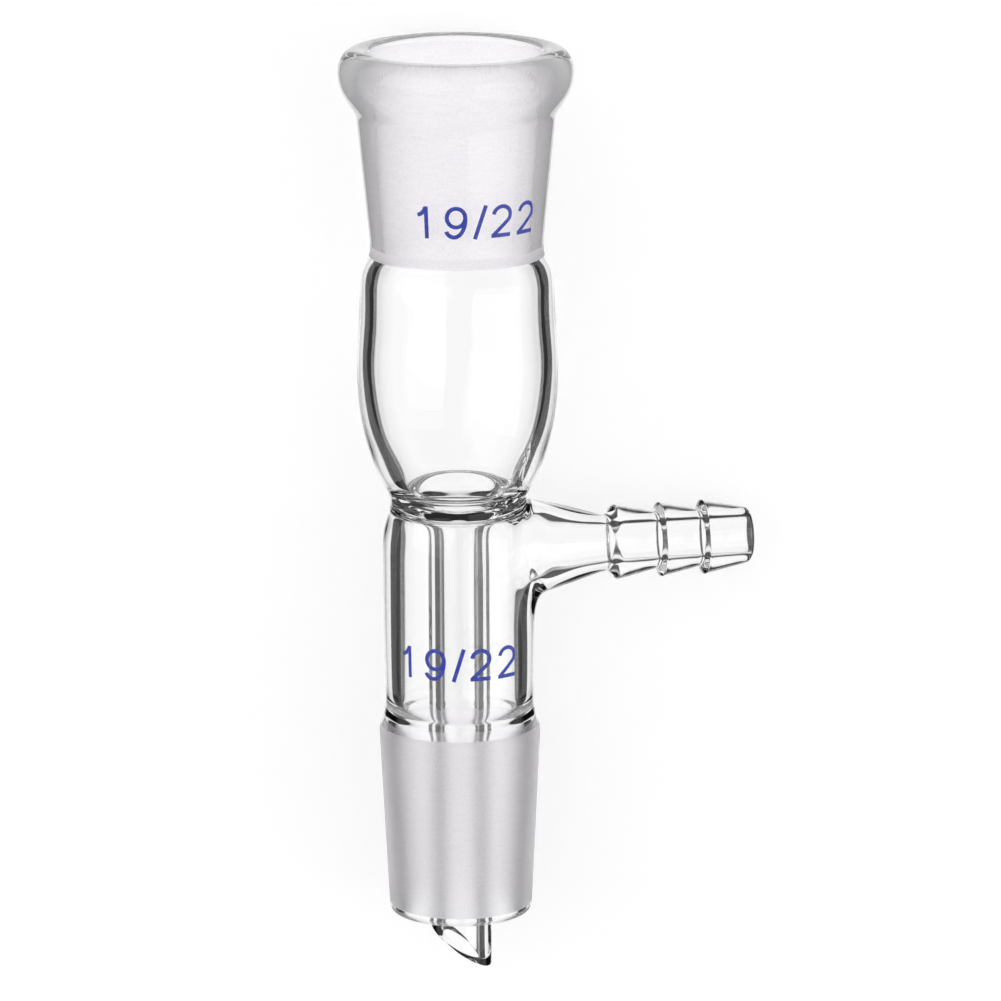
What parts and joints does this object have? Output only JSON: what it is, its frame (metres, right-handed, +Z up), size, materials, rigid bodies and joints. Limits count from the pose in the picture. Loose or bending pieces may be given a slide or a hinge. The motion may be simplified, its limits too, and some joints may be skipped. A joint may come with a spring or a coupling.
{
  "type": "vacuum take off adapter",
  "caption": "Clear glass vacuum take-off adapter: ground socket and blown bulb over a straight body with an inner drip tube, a side hose barb and a ground cone.",
  "frame": {"origin": "middle of the footprint, on the ground the adapter lies on", "axes": "+Y runs along the glass from the cone to the socket's mouth, within about 3 degrees of the tube's own axis, +X is the side the hose barb points to, +Z is up from the ground"},
  "size_m": [0.048, 0.1096, 0.0271],
  "materials": {
    "clear_glass": "clear lampworked borosilicate, fire-polished, with finely ground cone and socket faces",
    "blue_enamel": "fired-on blue size numerals, a thin ceramic ink"
  },
  "bodies": {
    "root": {"glass_adapter": "clear_glass"}
  },
  "joints": []
}
